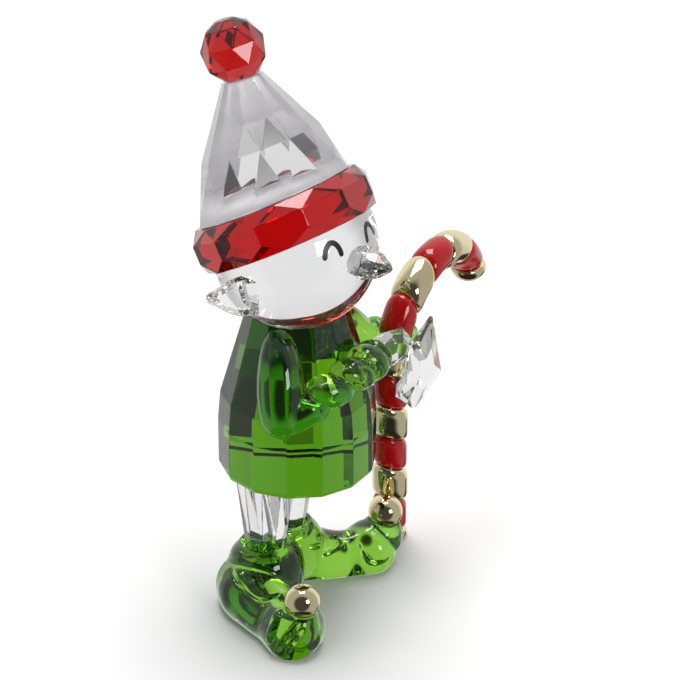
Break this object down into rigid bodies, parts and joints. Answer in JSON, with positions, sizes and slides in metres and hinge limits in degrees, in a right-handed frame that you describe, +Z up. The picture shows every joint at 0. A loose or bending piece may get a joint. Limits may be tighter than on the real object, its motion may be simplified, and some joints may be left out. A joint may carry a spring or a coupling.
{
  "type": "elf figurine",
  "caption": "Cut crystal elf in a tall hat and curled boots, holding a gold and red candy cane; a rigid glued table ornament.",
  "frame": {"origin": "middle of the figurine's box, on the plane of the boot soles", "axes": "+Z up along the figurine's height; the elf faces -Y and its left side is +X"},
  "size_m": [0.0651, 0.0356, 0.0969],
  "materials": {
    "green_crystal": "polished green crystal",
    "clear_crystal": "polished clear crystal",
    "red_crystal": "polished red crystal",
    "gold_plating": "polished gold plating on cast metal",
    "red_enamel": "glossy red enamel"
  },
  "bodies": {
    "root": {"tunic": "green_crystal", "left_arm": "green_crystal", "right_arm": "green_crystal", "left_boot": "green_crystal", "right_boot": "green_crystal", "head": "clear_crystal", "nose": "clear_crystal", "left_ear": "clear_crystal", "right_ear": "clear_crystal", "hat_cone": "clear_crystal", "left_hand": "clear_crystal", "right_hand": "clear_crystal", "left_leg": "clear_crystal", "right_leg": "clear_crystal", "hat_brim": "red_crystal", "hat_pompom": "red_crystal", "left_toe_ball": "gold_plating", "right_toe_ball": "gold_plating", "cane_core": "gold_plating", "cane_band_1": "red_enamel", "cane_band_2": "red_enamel", "cane_band_3": "red_enamel", "cane_band_4": "red_enamel", "cane_band_5": "red_enamel", "cane_band_6": "red_enamel"}
  },
  "joints": []
}
